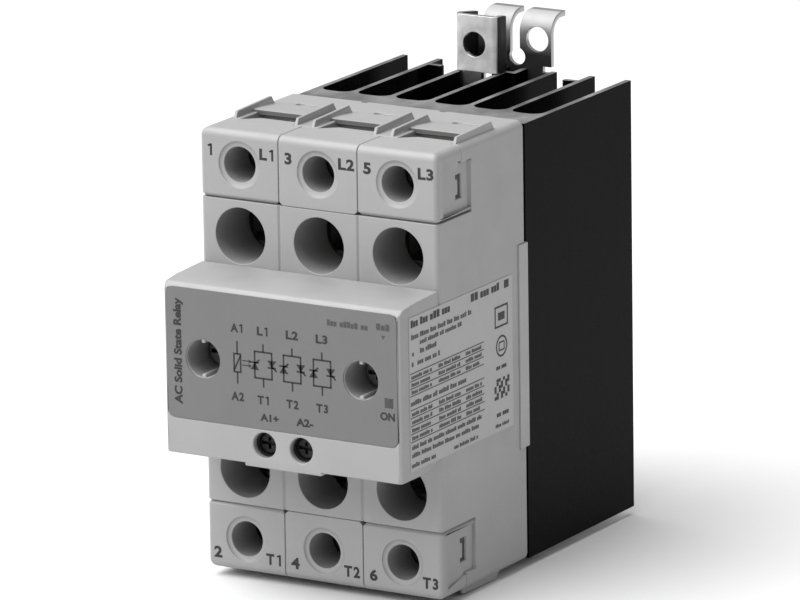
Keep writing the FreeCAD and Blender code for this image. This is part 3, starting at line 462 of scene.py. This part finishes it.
class Print:
    """A mesh of printed marks, drawn in millimetres across and up a flat surface."""

    def __init__(self):
        self.mesh = bmesh.new()

    def slab(self, corners):
        """A flat prism over a list of (across, up) corners."""
        count = len(corners)
        base = [self.mesh.verts.new((u * MM, v * MM, 0)) for u, v in corners]
        top = [self.mesh.verts.new((u * MM, v * MM, INK_THICK)) for u, v in corners]
        self.mesh.faces.new(top)
        self.mesh.faces.new(base[::-1])
        for i in range(count):
            j = (i + 1) % count
            self.mesh.faces.new((base[i], base[j], top[j], top[i]))

    def bar(self, u0, u1, v0, v1):
        self.slab([(u0, v0), (u1, v0), (u1, v1), (u0, v1)])

    def line(self, start, end, wide=0.34):
        """A straight stroke between two points."""
        across = Vector(end) - Vector(start)
        side = Vector((-across.y, across.x)).normalized() * wide / 2
        a, b = Vector(start), Vector(end)
        self.slab([a - side, b - side, b + side, a + side])

    def frame(self, u0, u1, v0, v1, wide=0.34):
        """The outline of a rectangle, without its inside."""
        half = wide / 2
        for v in (v0, v1):
            self.bar(u0 - half, u1 + half, v - half, v + half)
        for u in (u0, u1):
            self.bar(u - half, u + half, v0 + half, v1 - half)

    def ring(self, u, v, radius, wide, sides=28):
        """A round outline."""
        for i in range(sides):
            turn = [2 * math.pi * k / sides for k in (i, i + 1)]
            inner = [(u + (radius - wide) * math.cos(t), v + (radius - wide) * math.sin(t)) for t in turn]
            outer = [(u + radius * math.cos(t), v + radius * math.sin(t)) for t in turn]
            self.slab([inner[0], outer[0], outer[1], inner[1]])

    def text(self, words, u, v, cap_height, weight=0.04, wide=1.2, turn=0.0):
        """Lettering centred on a point, with capitals of this height."""
        curve = bpy.data.curves.new("lettering", "FONT")
        curve.body, curve.size, curve.offset = words, 1.0, weight
        curve.align_x, curve.align_y = "CENTER", "CENTER"
        curve.resolution_u = 4
        letters = bpy.data.objects.new("lettering", curve)
        bpy.context.collection.objects.link(letters)
        bpy.context.view_layer.update()
        flat = bpy.data.meshes.new_from_object(letters.evaluated_get(bpy.context.evaluated_depsgraph_get()))
        bpy.data.objects.remove(letters)
        heights = [p.co.y for p in flat.vertices]
        middle = (max(heights) + min(heights)) / 2
        size = cap_height * MM / (max(heights) - min(heights))
        place = (Matrix.Translation((u * MM, v * MM, 0)) @ Matrix.Rotation(turn, 4, "Z")
                 @ Matrix.Diagonal((size * wide, size, size, 1)) @ Matrix.Translation((0, -middle, 0)))
        part = bmesh.new()
        part.from_mesh(flat)
        part.transform(place)
        bpy.data.meshes.remove(flat)
        solid = bmesh.ops.extrude_face_region(part, geom=part.faces[:])
        raised = [g for g in solid["geom"] if isinstance(g, bmesh.types.BMVert)]
        bmesh.ops.translate(part, vec=(0, 0, INK_THICK), verts=raised)
        bmesh.ops.recalc_face_normals(part, faces=part.faces[:])
        joined = bpy.data.meshes.new("part")
        part.to_mesh(joined)
        part.free()
        self.mesh.from_mesh(joined)
        bpy.data.meshes.remove(joined)

    def one(self, u, v, high):
        """A figure 1 with a flag."""
        half, wide = high / 2, high * 0.2
        self.bar(u, u + wide, v - half, v + half)
        self.line((u - high * 0.2, v + half * 0.62), (u + wide / 2, v + half * 0.88), wide * 0.75)

    def caption(self, signs, u, v, high, wide=1.2):
        """A terminal's letter and figure, or its number alone, centred on a point."""
        step = high * 0.43
        places = (u,) if len(signs) == 1 else (u - step, u + step)
        for sign, place in zip(signs, places):
            if sign == "1":
                self.one(place, v, high)
            else:
                self.text(sign, place, v, high, wide=wide)

    def words(self, u0, u1, v, high, seed):
        """A line of word-like blocks, standing for small print."""
        pick = random.Random(seed)
        u = u0
        while u < u1 - 0.6:
            long = min(pick.uniform(1.6, 4.4), u1 - u)
            letters = max(1, round(long / (high * 0.75)))
            step = long / letters
            for i in range(letters):
                tall = high * pick.choice((0.78, 0.78, 1.0))
                self.bar(u + i * step, u + (i + 0.84) * step, v, v + tall)
            u += long + high * 0.5

    def finish(self, name, body, slot, material, place):
        self.mesh.transform(place)
        return add_piece(name, self.mesh, body, [material])


def facing_front(y):
    """Across is +X and up is +Z, on a surface that faces the front."""
    return Matrix(((1, 0, 0, 0), (0, 0, -1, y), (0, 1, 0, 0), (0, 0, 0, 1)))


def facing_right(x):
    """Across is +Y and up is +Z, on a surface that faces the right."""
    return Matrix(((0, 0, 1, x), (1, 0, 0, 0), (0, 1, 0, 0), (0, 0, 0, 1)))


# The marks' heights count from the foot of the housing, which stands on its ribs.
RIB_HIGH = 1.7
POLE_X = {"1": -18.0, "2": 0.0, "3": 18.0}


def cap_marks(terminal):
    """The number and the designation on one terminal cap."""
    low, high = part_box("terminal_cap_" + terminal)
    middle = POLE_X[terminal[1]]
    upper = terminal[0] == "L"
    number_height, name_height = (85.7, 85.9) if upper else (3.4, 3.4)
    marks = Print()
    marks.caption(NUMBERS[terminal], middle - 6.65, RIB_HIGH + number_height, 2.35)
    marks.caption(terminal, middle + 6.5, RIB_HIGH + name_height, 2.3, 1.2 if upper else 0.95)
    marks.finish("marks_" + terminal, ROOT, "housing_plastic", BLACK_INK, facing_front(low.y))


def thyristor_symbol(marks, u, v, way):
    """A solid triangle with a bar at its point and a short gate line; way is 1 up or -1 down."""
    marks.slab([(u - 1.0, v - 0.8 * way), (u + 1.0, v - 0.8 * way), (u, v + 0.7 * way)][::way])
    marks.bar(u - 0.95, u + 0.95, v + 0.65 * way - 0.17, v + 0.65 * way + 0.17)
    marks.line((u + 0.2, v + 0.5 * way), (u + 1.1, v + 1.3 * way))


def pole_diagram(marks, u, number):
    """One pole's circuit: its terminals and two thyristors back to back."""
    low, high, half = 46.7, 52.0, 1.95
    marks.caption("L" + number, u, 56.2, 1.75)
    marks.caption("T" + number, u, 42.3, 1.75, 0.95)
    marks.line((u, 53.6), (u, high))
    marks.line((u, low), (u, 44.9))
    for v in (low, high):
        marks.line((u - half - 0.17, v), (u + half + 0.17, v))
    for side in (-1, 1):
        marks.line((u + side * half, low), (u + side * half, high))
    thyristor_symbol(marks, u - half, 49.1, 1)
    thyristor_symbol(marks, u + half, 49.7, -1)


def input_diagram(marks, u):
    """The control input, a light source that acts on the poles."""
    low, high, half = 47.35, 51.0, 0.75
    marks.caption("A1", u + 0.2, 56.2, 1.75, 0.95)
    marks.caption("A2", u + 0.1, 42.4, 1.75, 0.95)
    marks.line((u, 53.6), (u, high))
    marks.line((u, low), (u, 45.0))
    marks.frame(u - half, u + half, low, high)
    marks.line((u - half, low + 0.3), (u + half, high - 0.3))
    for v in (48.9, 49.8):
        marks.line((u + 1.1, v), (u + 3.1, v), 0.18)
        marks.line((u + 2.6, v + 0.3), (u + 3.1, v), 0.18)
        marks.line((u + 2.6, v - 0.3), (u + 3.1, v), 0.18)


def front_print():
    """The circuit, the terminal names and the indicator's name on the front label."""
    low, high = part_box("front_label")
    marks = Print()
    input_diagram(marks, -10.05)
    for number, u in (("1", -4.1), ("2", 2.5), ("3", 9.3)):
        pole_diagram(marks, u, number)
    marks.text("A1+", -2.8, 38.85, 1.5)
    marks.text("A2-", 5.2, 38.9, 1.6)
    marks.text("ON", 24.0, 42.5, 1.65, wide=1.0)
    marks.text("AC Solid State Relay", -23.5, 50.0, 2.35, wide=1.08, turn=math.pi / 2)
    marks.finish("front_print", ROOT, "front_label", BLACK_INK, facing_front(low.y))
    small = Print()
    small.words(10.6, 20.5, 59.2, 1.2, 3)
    small.words(21.7, 24.8, 59.6, 1.3, 5)
    small.slab([(22.7, 58.6), (23.2, 57.8), (23.7, 58.6)])
    small.finish("front_small_print", ROOT, "front_label", GREY_INK, facing_front(low.y))


def side_print():
    """Rating tables and small print on the sticker, as lines of word-like blocks."""
    low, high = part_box("side_label")
    u0, v0 = low.y / MM, low.z / MM

    def block(marks, left, right, up, tall, seed):
        marks.words(u0 + left, u0 + right, v0 + up, tall, seed)

    bold = Print()
    block(bold, 0.6, 15.8, 28.7, 1.5, 11)
    block(bold, 23.8, 35.0, 28.7, 1.6, 12)
    bold.bar(u0 + 36.8, u0 + 38.6, v0 + 28.6, v0 + 30.2)
    for row in range(6):
        for step in range(7):
            if (row * 5 + step * 3) % 7 < 4:
                left, up = u0 + 32.6 + step * 0.85, v0 + 6.6 + row * 0.7
                bold.bar(left, left + 0.8, up, up + 0.66)
    bold.frame(u0 + 33.2, u0 + 38.0, v0 + 21.3, v0 + 25.3, 0.4)
    bold.bar(u0 + 34.3, u0 + 36.9, v0 + 22.5, v0 + 24.1)
    bold.ring(u0 + 35.6, v0 + 17.2, 2.2, 0.4)
    bold.frame(u0 + 34.6, u0 + 36.6, v0 + 16.4, v0 + 18.0, 0.3)
    block(bold, 33.4, 37.9, 12.6, 0.9, 31)
    block(bold, 33.4, 38.3, 3.0, 1.0, 32)
    bold.finish("side_bold_print", ROOT, "side_label", BLACK_INK, facing_right(high.x))

    small = Print()
    lines = ((0.7, 24.0, 26.3, 1.0), (4.0, 20.2, 24.8, 0.9), (1.0, 1.8, 23.0, 0.9), (4.0, 10.4, 23.0, 1.0),
             (0.8, 1.6, 20.9, 0.9), (3.0, 11.7, 20.9, 1.0), (0.3, 21.7, 13.1, 1.0), (0.5, 27.5, 4.3, 0.9),
             (0.5, 26.4, 2.7, 0.9), (16.6, 26.0, 0.6, 0.8), (0.4, 9.6, 0.7, 0.9), (32.9, 38.2, 0.9, 0.7))
    for seed, (left, right, up, tall) in enumerate(lines):
        block(small, left, right, up, tall, 40 + seed)
    for bottom, rows, pitch in ((15.1, 3, 1.5), (5.9, 4, 1.6)):
        for row in range(rows + 1):
            v = v0 + bottom + row * pitch
            small.bar(u0 + 0.2, u0 + 28.6, v - 0.11, v + 0.11)
            if row < rows:
                block(small, 0.6, 8.5, bottom + row * pitch + 0.35, pitch * 0.5, 60 + row)
                block(small, 11.0, 19.5, bottom + row * pitch + 0.35, pitch * 0.5, 70 + row)
                block(small, 21.5, 27.8, bottom + row * pitch + 0.35, pitch * 0.5, 80 + row)
    small.finish("side_small_print", ROOT, "side_label", GREY_INK, facing_right(high.x))


for terminal in TERMINALS:
    cap_marks(terminal)
front_print()
side_print()


# ---------------------------------------------------------------- camera, light and floor

CAMERA_AZIMUTH, CAMERA_ELEVATION, CAMERA_ROLL = 30.806, 14.482, -0.86
CAMERA_DISTANCE = 1.590458
CAMERA_TARGET = Vector((0, -0.0047, 0.0469))
CAMERA_LENS = 358.8
CAMERA_SHIFT = (0.0019, 0.0363)


def turned_to(azimuth, elevation):
    """The direction from the object towards a viewer at these angles, in degrees."""
    a, e = math.radians(azimuth), math.radians(elevation)
    return Vector((math.sin(a) * math.cos(e), -math.cos(a) * math.cos(e), math.sin(e)))


def add_camera():
    """The camera, at the photographed angle and distance."""
    back = turned_to(CAMERA_AZIMUTH, CAMERA_ELEVATION)
    level = Vector((math.cos(math.radians(CAMERA_AZIMUTH)), math.sin(math.radians(CAMERA_AZIMUTH)), 0))
    upright = back.cross(level)
    c, s = math.cos(math.radians(CAMERA_ROLL)), math.sin(math.radians(CAMERA_ROLL))
    across, up = c * level + s * upright, c * upright - s * level
    data = bpy.data.cameras.new("camera")
    data.lens, data.sensor_width = CAMERA_LENS, 36.0
    data.shift_x, data.shift_y = CAMERA_SHIFT
    data.clip_start, data.clip_end = 0.05, 20.0
    camera = bpy.data.objects.new("camera", data)
    bpy.context.collection.objects.link(camera)
    axes = Matrix((across, up, back)).transposed().to_4x4()
    camera.matrix_world = Matrix.Translation(CAMERA_TARGET + back * CAMERA_DISTANCE) @ axes
    bpy.context.scene.camera = camera


def soft_light(name, azimuth, elevation, distance, size, power):
    """A square soft box aimed at the middle of the object."""
    data = bpy.data.lights.new(name, "AREA")
    data.shape, data.size, data.energy = "SQUARE", size, power
    light = bpy.data.objects.new(name, data)
    bpy.context.collection.objects.link(light)
    direction = turned_to(azimuth, elevation)
    light.location = CAMERA_TARGET + direction * distance
    light.rotation_mode = "QUATERNION"
    light.rotation_quaternion = direction.to_track_quat("Z", "Y")


def add_floor():
    """A plain pale floor under the object."""
    finish = Finish("floor", grey(0.75), 0.8)
    finish.colour(finish.noise(60, 3), grey(0.745), grey(0.755))
    mesh = bmesh.new()
    bmesh.ops.create_grid(mesh, x_segments=8, y_segments=8, size=3.0)
    data = bpy.data.meshes.new("floor")
    mesh.to_mesh(data)
    mesh.free()
    floor = bpy.data.objects.new("floor", data)
    bpy.context.collection.objects.link(floor)
    floor.location.z = cad_box[0].z
    data.materials.append(finish.material)


def add_world(strength):
    """Even white light from all around."""
    world = bpy.data.worlds.new("studio")
    world.use_nodes = True
    world.node_tree.nodes["Background"].inputs["Color"].default_value = (1, 1, 1, 1)
    world.node_tree.nodes["Background"].inputs["Strength"].default_value = strength
    bpy.context.scene.world = world


add_camera()
add_floor()
add_world(0.45)
soft_light("key", -36, 50, 1.6, 1.7, 32.0)
soft_light("top", -70, 76, 1.5, 1.7, 20.0)
bpy.context.scene.view_settings.view_transform = "Standard"
